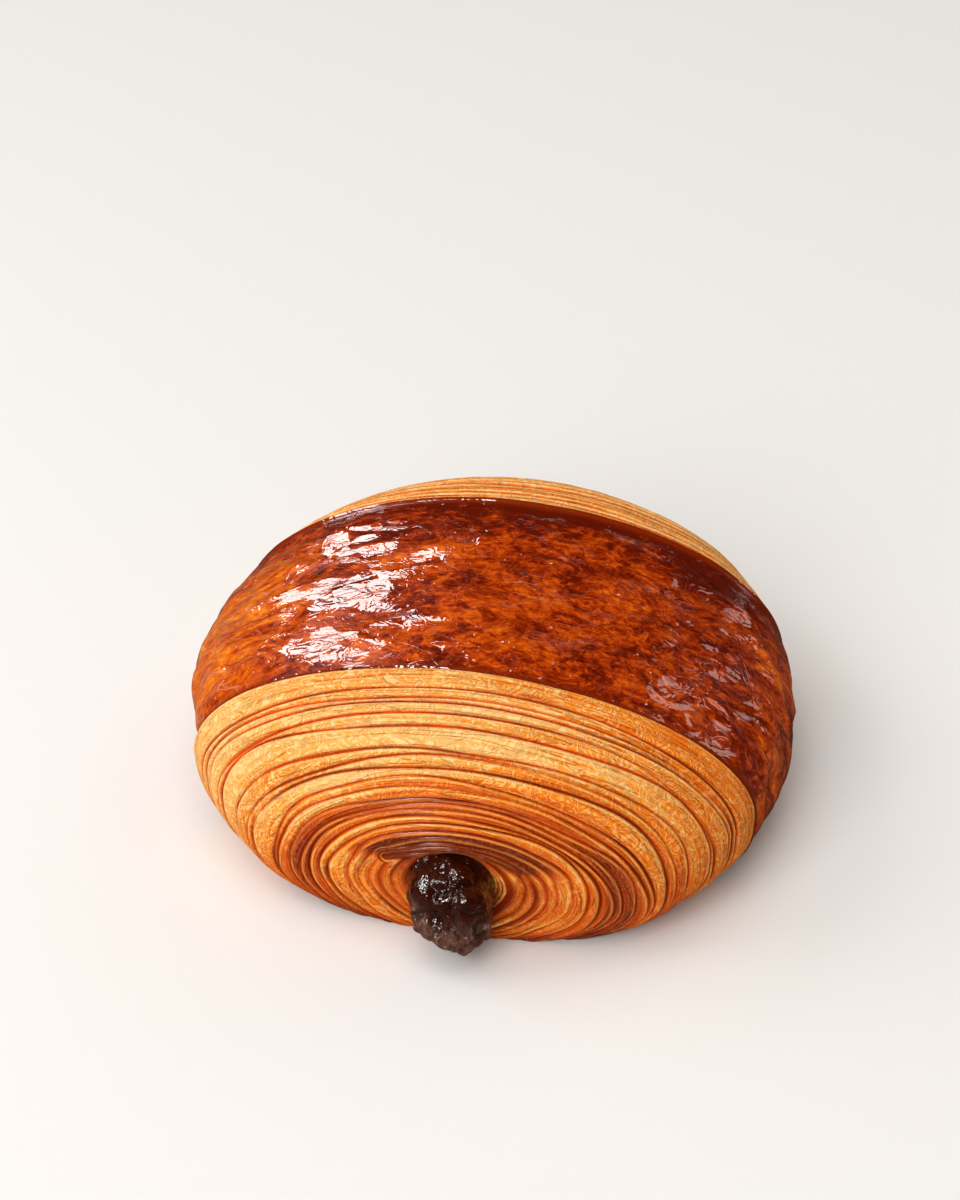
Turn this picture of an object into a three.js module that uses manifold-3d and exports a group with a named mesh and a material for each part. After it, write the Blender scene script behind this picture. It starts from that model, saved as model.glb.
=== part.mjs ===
// A pain au chocolat: a roll of laminated dough, wide across the roll and low, with the filling running through it.
// Millimetres, +Z up. The roll's axis lies along Y, its near cut end faces -Y, and it rests on a flat baked base.
import * as THREE from 'three';
import * as BufferGeometryUtils from 'three/addons/utils/BufferGeometryUtils.js';
import Module from 'manifold-3d';

// Driving dimensions of the roll
const rollWidth = 110;
const rollLength = 90;
const rollHeight = 45;
const poleHeight = 12;         // height of the filling's middle where it leaves the cut ends
const poleRadius = 8.2;        // radius of the innermost ring of dough
const poleDrift = 2;           // how far the innermost rings lie off the middle of the width, towards +X
const baseSink = 3.5;          // depth of the form pressed flat against the tray
const bellyShare = 0.383;      // height of the widest line, as a share of the ring's own height
const bellyDip = 3.6;          // how much lower it lies in the rings of middle size
const widthPower = [1.86, 2.85];
const heightPower = [4, 1.94];
const upperPower = 1.92;
const lowerPower = { pole: 1.5, middle: 3.2, change: 0.79 };
const lean = 0.24;             // how far the rings lean outwards at the top, for their height
const leanFade = 0.175;        // how much of that is gone at the poles

// The outermost wrap and the layers beside it
const wrapEdge = 0.52;         // where the wrap ends, as a share of the half length
const wrapLift = 0.3;          // the wrap's surface, above the smooth form
const wrapFlare = 1.4;         // how far it stands out low on one side, where its end was tucked in
const lipWidth = 0.014;
const turnWidths = [10.7, 10.2, 6.8, 8];      // dough turns from the wrap to the pole, along the top
const layerShares = [0.42, 0.23, 0.21, 0.14];
const wideLayer = 2.2;
const layerCrest = -0.1;       // tops of the layers, against the smooth form
const layerBulge = 0.75;       // how far a wide layer swells out of its grooves
const wobble = 0.5;

// The filling
const fillingRadius = 7.7;
const fillingOffset = 0.5;     // its middle, off the middle of the width
const fillingClearance = 0.3;
const nearNose = { reach: 8, middle: 10.5, drift: 2, floorGap: 0.4, round: 2.8 };
const farNose = { reach: 3, middle: 11, drift: -0.8, floorGap: 3.6, round: 2.6 };
const lumpHeight = 0.45;

// Mesh fineness
const columns = 60;
const wrapRows = 11;
const fillingColumns = 26;
const noseRows = 11;
const tunnelRows = 7;

const lerp = (a, b, f) => a + (b - a) * f;
const shape = (t, [inner, outer]) => Math.pow(Math.max(0, 1 - Math.pow(Math.abs(t), inner)), 1 / outer);
const signedPower = (v, power) => Math.sign(v) * Math.pow(Math.abs(v), power);

// A point of the smooth form. t runs from -1 at the near pole to 1 at the far one, and angle goes round the roll,
// from +X over the top.
function rollPoint(t, angle) {
  const spread = shape(t, widthPower);
  const rise = shape(t, heightPower);
  const half = poleRadius + (rollWidth / 2 - poleRadius) * spread;
  const top = poleHeight + poleRadius + (rollHeight - poleHeight - poleRadius) * rise;
  const bottom = lerp(-baseSink, poleHeight - poleRadius, Math.pow(1 - spread, 3.6));
  const dip = bellyDip * Math.pow(4 * rise * (1 - rise), 4);
  const belly = lerp(poleHeight, rollHeight * bellyShare, rise) - dip;
  const isUpper = Math.sin(angle) >= 0;
  const lower = lerp(lowerPower.pole, lowerPower.middle, Math.pow(spread, lowerPower.change));
  const power = 2 / (isUpper ? upperPower : lower);
  const along = Math.pow(Math.abs(Math.sin(angle)), power);
  const z = isUpper ? belly + (top - belly) * along : belly - (belly - bottom) * along;
  return new THREE.Vector3(
    half * signedPower(Math.cos(angle), power) + poleDrift * Math.pow(Math.abs(t), 3),
    t * (rollLength / 2 + (lean - leanFade * Math.abs(t)) * (z - poleHeight)),
    z,
  );
}

// The outward direction of the smooth form, from small steps along both of its parameters
function rollNormal(t, angle) {
  const step = 1e-3;
  const inside = THREE.MathUtils.clamp(t, -1 + 2 * step, 1 - 2 * step);
  const alongAxis = rollPoint(inside + step, angle).sub(rollPoint(inside - step, angle));
  const alongRing = rollPoint(inside, angle + step).sub(rollPoint(inside, angle - step));
  return alongRing.cross(alongAxis).normalize().negate();
}

// Slow waves round the roll, so that no two rings are quite alike
function ringWave(angle, seed) {
  return 0.5 * Math.sin(2 * angle + 1.7 * seed) + 0.3 * Math.sin(3 * angle + 2.9 * seed + 1)
    + 0.2 * Math.sin(5 * angle + 4.3 * seed + 2);
}

// Where the wrap flares: low on the -X side, towards its near edge
function flareShare(t, angle) {
  const low = Math.exp(-Math.pow((angle - 1.04 * Math.PI) / 0.3, 2));
  return low * THREE.MathUtils.smoothstep(-t, -0.1, 0.35);
}

// Ring positions at given lengths along the top, measured from the edge of the wrap towards the pole
function positionsAlongTop(lengths) {
  const steps = 4000;
  const found = [];
  let travelled = 0;
  let before = rollPoint(-wrapEdge, Math.PI / 2);
  for (let i = 1; i <= steps && found.length < lengths.length; i += 1) {
    const t = 1 - (1 - wrapEdge) * Math.pow(1 - i / steps, 4);
    const point = rollPoint(-t, Math.PI / 2);
    travelled += point.distanceTo(before);
    before = point;
    while (found.length < lengths.length && travelled >= lengths[found.length]) found.push(t);
  }
  while (found.length < lengths.length) found.push(1);
  return found;
}

// Rows of the layered end, from the wrap to the pole: each layer swells between two grooves
function layerRows() {
  const rows = [];
  let start = 0;
  turnWidths.forEach((turnWidth, turn) => {
    layerShares.forEach((share, layer) => {
      const width = turnWidth * share;
      const seed = turn * layerShares.length + layer;
      const swell = layerBulge * Math.min(1, width / wideLayer);
      rows.push({ length: start, lift: layerCrest - swell, seed });
      if (layer === 0) {
        rows.push({ length: start + 0.22 * width, lift: layerCrest - 0.15 * swell, seed });
        rows.push({ length: start + 0.7 * width, lift: layerCrest, seed });
      } else {
        rows.push({ length: start + 0.45 * width, lift: layerCrest, seed });
      }
      start += width;
    });
  });
  const found = positionsAlongTop(rows.map((row) => row.length));
  return rows.map((row, i) => ({ t: found[i], lift: row.lift, seed: row.seed })).filter((row) => row.t < 1);
}

// All rows of the roll from the near pole to the far one
function rollRows() {
  const end = layerRows().slice(1);
  const near = end.map((row) => ({ ...row, t: -row.t })).reverse();
  const far = end.map((row) => ({ ...row, seed: row.seed + 31 }));
  const wrap = [];
  for (let i = 0; i < wrapRows; i += 1) {
    wrap.push({ t: lerp(-wrapEdge + lipWidth, wrapEdge - lipWidth, i / (wrapRows - 1)), lift: wrapLift, seed: 0 });
  }
  const foot = { lift: layerCrest - layerBulge, seed: 0 };
  const lip = { lift: wrapLift / 2, seed: 0 };
  return [
    { t: -1, lift: 0, seed: 40 }, ...near,
    { ...foot, t: -wrapEdge - lipWidth / 2 }, { ...lip, t: -wrapEdge }, ...wrap,
    { ...lip, t: wrapEdge }, { ...foot, t: wrapEdge + lipWidth / 2 }, ...far,
    { t: 1, lift: 0, seed: 41 },
  ];
}

// A closed mesh over rings of points, with a middle point at each end
function closedRings(rings, firstMiddle, lastMiddle) {
  const count = rings[0].length;
  const positions = [];
  rings.forEach((ring) => ring.forEach((p) => positions.push(p.x, p.y, p.z)));
  const first = rings.length * count;
  positions.push(firstMiddle.x, firstMiddle.y, firstMiddle.z, lastMiddle.x, lastMiddle.y, lastMiddle.z);
  const index = [];
  for (let i = 0; i < count; i += 1) {
    const next = (i + 1) % count;
    index.push(first, i, next);
    for (let row = 0; row + 1 < rings.length; row += 1) {
      const here = row * count;
      const above = here + count;
      index.push(here + i, above + i, above + next, here + i, above + next, here + next);
    }
    const last = (rings.length - 1) * count;
    index.push(first + 1, last + next, last + i);
  }
  const geometry = new THREE.BufferGeometry();
  geometry.setAttribute('position', new THREE.Float32BufferAttribute(positions, 3));
  geometry.setIndex(index);
  return geometry;
}

// The roll of dough before the filling's way is cut, flat where it lay on the tray
function rollGeometry() {
  const rings = rollRows().map(({ t, lift, seed }) => {
    const ring = [];
    const isWrapRow = Math.abs(t) <= wrapEdge;
    for (let i = 0; i < columns; i += 1) {
      const angle = 2 * Math.PI * i / columns;
      const flare = isWrapRow ? wrapFlare * flareShare(t, angle) : 0;
      const nearPole = 1 - Math.pow(Math.abs(t), 8);
      const isWrap = Math.abs(t) < wrapEdge;
      const shift = isWrap ? 0 : wobble * nearPole * ringWave(angle, seed) / rollLength;
      const uneven = isWrap ? 0.25 * ringWave(angle + t, 7) : 0.2 * ringWave(angle, seed + 3) * nearPole;
      const point = rollPoint(t + Math.sign(t) * shift, angle);
      point.addScaledVector(rollNormal(t, angle), lift + uneven + flare);
      point.z = Math.max(0, point.z);
      ring.push(point);
    }
    return ring;
  });
  const middle = (end) => new THREE.Vector3(poleDrift, end * (rollLength / 2 - 0.8), poleHeight);
  return closedRings(rings, middle(-1), middle(1));
}

// One ring of the filling outside the dough. f runs from 0 at the cut end to 1 at the tip of the nose.
function noseRing(nose, f, grow) {
  const narrow = Math.pow(Math.max(0, 1 - Math.pow(f, nose.round)), 1 / nose.round);
  const settle = Math.min(1, f / 0.2);
  const roof = lerp(nose.middle, poleHeight + fillingRadius, narrow);
  const lowest = lerp(poleHeight - fillingRadius, nose.floorGap, settle * settle * (3 - 2 * settle));
  const floor = lerp(nose.middle, lowest, Math.pow(narrow, 1.5));
  return {
    x: fillingOffset + nose.drift * f, half: fillingRadius * narrow + grow, roof: roof + grow, floor: floor - grow, f,
  };
}

// The filling: a soft bar through the roll, swelling out at both cut ends. grow widens it, for the way cut for it.
function fillingGeometry(grow) {
  const wall = rollLength / 2;
  const sections = [];
  for (let i = noseRows - 1; i >= 0; i -= 1) {
    const f = Math.sin((i / noseRows) * Math.PI / 2);
    sections.push({ y: -wall - (nearNose.reach + grow) * f, ...noseRing(nearNose, f, grow) });
  }
  for (let i = 1; i < tunnelRows; i += 1) {
    sections.push({ y: lerp(-wall, wall, i / tunnelRows), ...noseRing(nearNose, 0, grow), f: 0 });
  }
  for (let i = 0; i < noseRows; i += 1) {
    const f = Math.sin((i / noseRows) * Math.PI / 2);
    sections.push({ y: wall + (farNose.reach + grow) * f, ...noseRing(farNose, f, grow) });
  }
  const rings = sections.map(({ x, y, half, roof, floor, f }) => {
    const ring = [];
    for (let i = 0; i < fillingColumns; i += 1) {
      const angle = 2 * Math.PI * i / fillingColumns;
      const lump = 1 - (f > 0 && f < 0.98 ? lumpHeight / fillingRadius * (1 + Math.sin(3 * angle + 2.2 * y)
        * Math.cos(2 * angle - 1.3 * y)) / 2 : 0);
      const middle = (roof + floor) / 2;
      ring.push(new THREE.Vector3(
        x + half * lump * Math.cos(angle),
        y,
        Math.max(0.05, middle + (roof - floor) / 2 * lump * Math.sin(angle)),
      ));
    }
    return ring;
  });
  const tip = (nose, end) => new THREE.Vector3(fillingOffset + nose.drift, end * (wall + nose.reach + grow), nose.middle);
  return closedRings(rings, tip(nearNose, -1), tip(farNose, 1));
}

const wasm = await Module();
wasm.setup();

// A closed mesh as a solid for joining and cutting
function toSolid(geometry) {
  const bare = geometry.clone();
  bare.deleteAttribute('normal');
  bare.deleteAttribute('uv');
  const merged = BufferGeometryUtils.mergeVertices(bare);
  return new wasm.Manifold(new wasm.Mesh({
    numProp: 3,
    vertProperties: new Float32Array(merged.attributes.position.array),
    triVerts: new Uint32Array(merged.index.array),
  }));
}

function toGeometry(solid) {
  const { vertProperties, triVerts } = solid.getMesh();
  const geometry = new THREE.BufferGeometry();
  geometry.setAttribute('position', new THREE.Float32BufferAttribute(vertProperties, 3));
  geometry.setIndex(Array.from(triVerts));
  return geometry;
}

// The baked dough, with the way through it that the filling lies in
function makePastry() {
  const geometry = toGeometry(toSolid(rollGeometry()).subtract(toSolid(fillingGeometry(fillingClearance))));
  geometry.computeVertexNormals();
  const crust = new THREE.MeshStandardMaterial({ color: 0xd08038, roughness: 0.45, metalness: 0 });
  const mesh = new THREE.Mesh(geometry, crust);
  mesh.name = 'pastry';
  return mesh;
}

// Dark filling, melted and set again, glossy where it is freshest
function makeFilling() {
  const geometry = fillingGeometry(0);
  geometry.computeVertexNormals();
  const chocolate = new THREE.MeshStandardMaterial({ color: 0x3a1c10, roughness: 0.25, metalness: 0 });
  const mesh = new THREE.Mesh(geometry, chocolate);
  mesh.name = 'filling';
  return mesh;
}

// The whole food, moved so that the origin is the middle of its underside
const painAuChocolat = new THREE.Group();
painAuChocolat.add(makePastry(), makeFilling());
const extent = new THREE.Box3().setFromObject(painAuChocolat);
const centre = extent.getCenter(new THREE.Vector3());
painAuChocolat.position.set(-centre.x, -centre.y, -extent.min.z);

export default painAuChocolat;
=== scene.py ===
import math
import bpy
import numpy as np
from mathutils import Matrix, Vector


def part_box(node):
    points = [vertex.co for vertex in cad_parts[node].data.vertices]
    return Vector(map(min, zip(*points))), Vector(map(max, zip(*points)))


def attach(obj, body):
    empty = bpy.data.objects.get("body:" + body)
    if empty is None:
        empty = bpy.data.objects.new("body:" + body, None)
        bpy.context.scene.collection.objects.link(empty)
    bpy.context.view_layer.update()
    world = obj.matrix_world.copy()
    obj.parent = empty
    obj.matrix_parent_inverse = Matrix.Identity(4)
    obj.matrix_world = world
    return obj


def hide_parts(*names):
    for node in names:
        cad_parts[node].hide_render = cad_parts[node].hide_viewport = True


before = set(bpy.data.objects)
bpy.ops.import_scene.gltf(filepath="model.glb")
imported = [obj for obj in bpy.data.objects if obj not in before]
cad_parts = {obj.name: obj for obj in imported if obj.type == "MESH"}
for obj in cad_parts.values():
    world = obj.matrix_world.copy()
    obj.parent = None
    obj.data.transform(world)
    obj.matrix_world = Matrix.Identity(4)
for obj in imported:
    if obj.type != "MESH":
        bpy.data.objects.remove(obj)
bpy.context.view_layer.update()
print("frame loaded:", len(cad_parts), "nodes")

# Sizes are in millimetres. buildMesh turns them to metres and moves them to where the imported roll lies.
toMetres = 0.001
doughLow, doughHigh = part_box("pastry")
rollMiddle = np.array([(doughLow.x + doughHigh.x) / 2, (doughLow.y + doughHigh.y) / 2, doughLow.z])
overTop = np.pi / 2            # ring angles run from +X over the top

roll = {
    "width": 110.0,
    "length": 90.0,
    "height": 45.0,
    "poleHeight": 12.0,       # middle of the filling where it leaves the cut ends
    "poleRadius": 8.2,
    "poleDrift": 2.0,         # the innermost rings lie off the middle of the width
    "baseSink": 3.5,          # pressed flat against the tray
    "basePower": 3.6,         # how fast the base rises to the poles
    "bellyShare": 0.383,      # height of the widest line
    "bellyDip": 3.6,          # and how much lower it lies in the rings of middle size
    "widthPowers": (1.86, 2.85),
    "heightPowers": (4.0, 1.94),
    "upperPower": 1.92,
    "lowerPowers": (1.5, 3.2),
    "lowerChange": 0.79,
    "lean": (0.24, 0.175),    # the rings lean outwards at the top, less so at the pole
    "nearEdge": 0.53,         # where the outer wrap ends, as a share of the half length
    "farEdge": 0.455,
    "mouthOffset": 0.5,       # the filling's middle, off the middle of the width
    "tunnelRadius": 6.9,
}


# Share of full size at place t: one minus |t| to the inner power, all to one over the outer power
def endTaper(t, powers):
    inner, outer = powers
    return np.maximum(0.0, 1.0 - np.abs(t) ** inner) ** (1.0 / outer)


# The value to a power, with its sign kept
def signedPower(value, power):
    return np.sign(value) * np.abs(value) ** power


# The smooth roll: at place t along Y, a ring of superellipse shape, whose half width and height shrink by
# endTaper. The widest line dips by a fourth power hump, and the ring leans by its height.
def rollSurface(t, angle):
    t, angle = np.broadcast_arrays(t, angle)
    spread = endTaper(t, roll["widthPowers"])
    rise = endTaper(t, roll["heightPowers"])
    radius = roll["poleRadius"]
    poleHeight = roll["poleHeight"]
    baseSink = roll["baseSink"]
    half = radius + (roll["width"] / 2 - radius) * spread
    top = poleHeight + radius + (roll["height"] - poleHeight - radius) * rise
    lowest = (poleHeight - radius + baseSink) * (1.0 - spread) ** roll["basePower"] - baseSink
    belly = poleHeight + (roll["height"] * roll["bellyShare"] - poleHeight) * rise
    belly = belly - roll["bellyDip"] * (4.0 * rise * (1.0 - rise)) ** 4
    isUpper = np.sin(angle) >= 0
    lowPole, lowMiddle = roll["lowerPowers"]
    lower = lowPole + (lowMiddle - lowPole) * spread ** roll["lowerChange"]
    power = np.where(isUpper, 2.0 / roll["upperPower"], 2.0 / lower)
    upright = np.abs(np.sin(angle)) ** power
    x = half * signedPower(np.cos(angle), power) + roll["poleDrift"] * np.abs(t) ** 3
    z = np.where(isUpper, belly + (top - belly) * upright, belly - (belly - lowest) * upright)
    lean = roll["lean"][0] - roll["lean"][1] * np.abs(t)
    y = t * (roll["length"] / 2 + lean * (z - poleHeight))
    return np.stack([x, y, z], axis=-1)


# Lengths along a line of points: the running sum of its steps
def runningLength(points):
    steps = np.linalg.norm(np.diff(points, axis=0), axis=1)
    return np.concatenate([[0.0], np.cumsum(steps)])


# Ring angles at nearly equal lengths on the middle ring, once round from under the base (-90 degrees)
def evenAngles(count, fineSteps=20000):
    fine = np.linspace(-overTop, 3.0 * overTop, fineSteps + 1)
    travelled = runningLength(rollSurface(np.zeros_like(fine), fine))
    return np.interp(np.arange(count) / count * travelled[-1], travelled, fine)


# Lengths over the crest from the wrap's edge to the pole, and the place t that belongs to each
def crestTable(edge, fineSteps=6000):
    t = 1.0 - (1.0 - edge) * (1.0 - np.linspace(0.0, 1.0, fineSteps + 1)) ** 4
    return runningLength(rollSurface(t, np.full_like(t, overTop))), t


# Outward unit normals of a grid that is closed round its columns: the cross product of its two differences
def gridNormals(points, outward=1.0):
    alongRing = np.roll(points, -1, axis=1) - np.roll(points, 1, axis=1)
    alongRows = np.gradient(points, axis=0)
    normal = np.cross(alongRing, alongRows)
    length = np.linalg.norm(normal, axis=-1, keepdims=True)
    return outward * normal / np.maximum(length, 1e-9)


# A step from 0 to 1 between two edges, smooth at both
def smoothStep(low, high, value):
    share = np.clip((value - low) / (high - low), 0.0, 1.0)
    return share * share * (3.0 - 2.0 * share)


# Smooth noise from -1 to 1: random values on a cubic lattice, blended over each cell by smooth corner shares
def latticeNoise(points, cell, seed, latticeSize=32):
    lattice = np.random.default_rng(seed).uniform(-1.0, 1.0, (latticeSize,) * 3)
    scaled = points / np.asarray(cell, dtype=float)
    corner = np.floor(scaled).astype(int)
    share = smoothStep(0.0, 1.0, scaled - corner)
    total = np.zeros(points.shape[:-1])
    for offset in np.ndindex(2, 2, 2):
        step = np.array(offset)
        weight = np.prod(np.where(step == 1, share, 1.0 - share), axis=-1)
        index = (corner + step) % latticeSize
        total += weight * lattice[index[..., 0], index[..., 1], index[..., 2]]
    return total


# Points pushed about by three noises, so that what is drawn over them swirls
def swirled(points, cell, reach, seed):
    push = [latticeNoise(points, cell, seed + axis) for axis in range(3)]
    return points + reach * np.stack(push, axis=-1)


# Waves round the roll of period one turn: a sum of sines of two to nine waves with random phases, by row
def ringWaves(angle, rows, seed):
    random = np.random.default_rng(seed)
    total = np.zeros((rows, angle.size))
    for waves, size in ((2, 0.5), (3, 0.4), (5, 0.3), (7, 0.2), (9, 0.12)):
        phase = random.uniform(0.0, 2.0 * np.pi, (rows, 1))
        total += size * random.uniform(0.5, 1.0, (rows, 1)) * np.sin(waves * angle[None, :] + phase)
    return total


# A closed mesh from a grid of points: columns close round, and rows close too, or end in a middle point each
def buildMesh(name, points, attributes, capped=False):
    rows, columns = points.shape[:2]
    corners = np.arange(rows * columns).reshape(rows, columns)
    following = corners if capped else np.vstack([corners, corners[:1]])
    here, above = following[:-1], following[1:]
    quads = np.stack([here, np.roll(here, -1, axis=1), np.roll(above, -1, axis=1), above], axis=-1)
    quads = quads.reshape(-1, 4)
    triangles = np.concatenate([quads[:, [0, 1, 2]], quads[:, [0, 2, 3]]])
    vertices = points.reshape(-1, 3)
    values = {key: value.reshape(-1) for key, value in attributes.items()}
    if capped:
        first, last = corners[0], corners[-1]
        ends = np.array([points[0].mean(axis=0), points[-1].mean(axis=0)])
        vertices = np.concatenate([vertices, ends])
        low = np.stack([np.full(columns, rows * columns), np.roll(first, -1), first], axis=-1)
        high = np.stack([np.full(columns, rows * columns + 1), last, np.roll(last, -1)], axis=-1)
        triangles = np.concatenate([triangles, low, high])
        values = {key: np.append(value, [value[0], value[-1]]) for key, value in values.items()}
    a, b, c = (vertices[triangles[:, i]] for i in range(3))
    if np.einsum("ij,ij->i", a, np.cross(b, c)).sum() < 0:      # the faces point inwards
        triangles = triangles[:, ::-1]
    mesh = bpy.data.meshes.new(name)
    inFrame = vertices * toMetres + rollMiddle
    mesh.vertices.add(len(inFrame))
    mesh.vertices.foreach_set("co", inFrame.astype(np.float32).ravel())
    mesh.loops.add(triangles.size)
    mesh.loops.foreach_set("vertex_index", triangles.astype(np.int32).ravel())
    mesh.polygons.add(len(triangles))
    mesh.polygons.foreach_set("loop_start", np.arange(0, triangles.size, 3, dtype=np.int32))
    mesh.update(calc_edges=True)
    mesh.polygons.foreach_set("use_smooth", np.ones(len(triangles), dtype=bool))
    for key, value in values.items():
        layer = mesh.attributes.new(key, "FLOAT", "POINT")
        layer.data.foreach_set("value", value.astype(np.float32))
    mesh.validate()
    piece = bpy.data.objects.new(name, mesh)
    bpy.context.scene.collection.objects.link(piece)
    return piece


# Gives a finished piece its material, and its place in the frame
def finishPiece(piece, material, node):
    piece.data.materials.append(material)
    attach(piece, "root")
    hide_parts(node)
    print("made", piece.name, "with", len(piece.data.polygons), "triangles")


# A ring of the way for the filling, of even radius about the roll's pole, at place t
def tunnelRing(t, angle):
    radius = roll["tunnelRadius"]
    x = roll["mouthOffset"] + radius * np.cos(angle)
    z = roll["poleHeight"] + radius * np.sin(angle)
    return np.stack([x, np.full_like(angle, t * roll["length"] / 2), z], axis=-1)


# Adds a shader node. An input takes a plain value, or another node's output socket.
def addNode(tree, kind, inputs=None, **settings):
    made = tree.nodes.new(kind)
    for key, value in settings.items():
        setattr(made, key, value)
    for key, value in (inputs or {}).items():
        if isinstance(value, bpy.types.NodeSocket):
            tree.links.new(value, made.inputs[key])
        else:
            made.inputs[key].default_value = value
    return made


# A colour from its sRGB parts of 0 to 255
def colour(red, green, blue):
    parts = np.array([red, green, blue]) / 255.0
    linear = np.where(parts <= 0.04045, parts / 12.92, ((parts + 0.055) / 1.055) ** 2.4)
    return (*linear.tolist(), 1.0)


# Colours along a factor, from (position, colour) pairs
def ramp(tree, factor, stops):
    made = addNode(tree, "ShaderNodeValToRGB", {"Fac": factor})
    elements = made.color_ramp.elements
    elements[0].position, elements[0].color = stops[0]
    elements[1].position, elements[1].color = stops[-1]
    for position, shade in stops[1:-1]:
        elements.new(position).color = shade
    return made.outputs["Color"]


# Joins two values by a sum, product or other rule
def maths(tree, operation, first, second=0.0):
    return addNode(tree, "ShaderNodeMath", {0: first, 1: second}, operation=operation).outputs[0]


# The sum of values, each times its share
def weighted(tree, parts, start=0.0):
    total = start
    for value, share in parts:
        joined = {0: value, 1: share, 2: total}
        total = addNode(tree, "ShaderNodeMath", joined, operation="MULTIPLY_ADD").outputs[0]
    return total


# Joins two vectors by a rule
def vectorMaths(tree, operation, first, second):
    return addNode(tree, "ShaderNodeVectorMath", {0: first, 1: second}, operation=operation)


# Blends two colours by a factor
def blendColours(tree, factor, first, second):
    return addNode(tree, "ShaderNodeMix", {0: factor, 6: first, 7: second}, data_type="RGBA").outputs[2]


# A value moved from one range to another, and kept within it
def remap(tree, value, low, high, newLow=0.0, newHigh=1.0):
    made = addNode(tree, "ShaderNodeMapRange", {0: value, 1: low, 2: high, 3: newLow, 4: newHigh})
    return made.outputs[0]


# Noise over a vector, as a value near 0.5
def noise(tree, vector, detail=3.0, distortion=0.0, roughness=0.5):
    looks = {"Detail": detail, "Distortion": distortion, "Roughness": roughness}
    return addNode(tree, "ShaderNodeTexNoise", {"Vector": vector, "Scale": 1.0, **looks}).outputs["Fac"]


def attribute(tree, name):
    return addNode(tree, "ShaderNodeAttribute", attribute_name=name).outputs["Fac"]


# Object coordinates stretched by a scale on each axis, and bent if asked
def objectVector(tree, scale=(1.0, 1.0, 1.0), offset=(0.0, 0.0, 0.0), bend=0.0):
    coordinates = tree.nodes.new("ShaderNodeTexCoord").outputs["Object"]
    inputs = {"Vector": coordinates, "Scale": scale, "Location": offset}
    vector = addNode(tree, "ShaderNodeMapping", inputs).outputs[0]
    return bent(tree, vector, bend) if bend else vector


# A vector that runs with the rings, and is bent if asked: X and Z across a ring and the along attribute, at
# waves per millimetre each
def ringVector(tree, across, along, bend=0.0):
    separate = addNode(tree, "ShaderNodeSeparateXYZ", {0: objectVector(tree)})
    parts = {
        0: maths(tree, "MULTIPLY", separate.outputs["X"], across / toMetres),
        1: maths(tree, "MULTIPLY", attribute(tree, "along"), along),
        2: maths(tree, "MULTIPLY", separate.outputs["Z"], across / toMetres),
    }
    vector = addNode(tree, "ShaderNodeCombineXYZ", parts).outputs[0]
    return bent(tree, vector, bend) if bend else vector


# A vector pushed about by noise, so that cells and lines over it curl
def bent(tree, vector, reach, detail=2.0):
    inputs = {"Vector": vector, "Scale": 0.6, "Detail": detail}
    pushed = addNode(tree, "ShaderNodeTexNoise", inputs).outputs["Color"]
    centred = vectorMaths(tree, "SUBTRACT", pushed, (0.5, 0.5, 0.5)).outputs[0]
    push = addNode(tree, "ShaderNodeVectorMath", {0: centred, "Scale": reach * 2.0}, operation="SCALE")
    return vectorMaths(tree, "ADD", vector, push.outputs[0]).outputs[0]


# Flat plates tilted at random: the offset from the centre of each bent cell times the cell's own direction
def flatPlates(tree, vector, reach):
    cells = addNode(tree, "ShaderNodeTexVoronoi", {"Vector": bent(tree, vector, reach, 0.6), "Scale": 1.0})
    away = vectorMaths(tree, "SUBTRACT", vector, cells.outputs["Position"]).outputs[0]
    towards = vectorMaths(tree, "SUBTRACT", cells.outputs["Color"], (0.5, 0.5, 0.5)).outputs[0]
    return vectorMaths(tree, "DOT_PRODUCT", away, towards).outputs["Value"]


# Nested arcs like a fingerprint: the sine of a noise many times over
def nestedArcs(tree, vector, count):
    value = noise(tree, vector, 0.0, 0.6)
    return remap(tree, maths(tree, "SINE", maths(tree, "MULTIPLY", value, count)), -1.0, 1.0)


# Thin curling lines: one where a noise crosses its middle level, and zero beyond the given distance from it
def levelLines(tree, vector, thickness, detail=1.0):
    value = noise(tree, vector, detail, 0.4)
    away = maths(tree, "ABSOLUTE", maths(tree, "SUBTRACT", value, 0.5))
    return remap(tree, away, 0.0, thickness, 1.0, 0.0)


# The normal of a surface whose height is given in steps of a size in metres
def bumpNormal(tree, height, size, under=None):
    inputs = {"Height": height, "Strength": 1.0, "Distance": size}
    if under is not None:
        inputs["Normal"] = under
    return addNode(tree, "ShaderNodeBump", inputs).outputs[0]


# A material with an empty tree, and its output node
def newMaterial(name):
    material = bpy.data.materials.new(name)
    material.use_nodes = True
    tree = material.node_tree
    tree.nodes.clear()
    return material, tree, tree.nodes.new("ShaderNodeOutputMaterial")


# Puts the finished looks on the material's surface
def finishMaterial(tree, output, looks):
    shader = addNode(tree, "ShaderNodeBsdfPrincipled", looks)
    tree.links.new(shader.outputs[0], output.inputs["Surface"])


# The camera stands at the photograph's angle.
view = {
    "target": (-10.92, 49.67, 0.0),
    "azimuth": 9.97,
    "elevation": 37.361,
    "distance": 460.0,
    "lens": 67.46,
    "sensor": 36.0,
    "nearest": 0.01,           # metres that it sees, from and to
    "farthest": 20.0,
}


# Millimetres of the roll's own frame to the scene's metres
def inScene(point):
    return Vector((np.array(point) * toMetres + rollMiddle).tolist())


# The direction at an azimuth and elevation: azimuth 0 is -Y, and 90 is +X
def direction(azimuth, elevation):
    a, e = math.radians(azimuth), math.radians(elevation)
    return Vector((math.sin(a) * math.cos(e), -math.cos(a) * math.cos(e), math.sin(e)))


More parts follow.
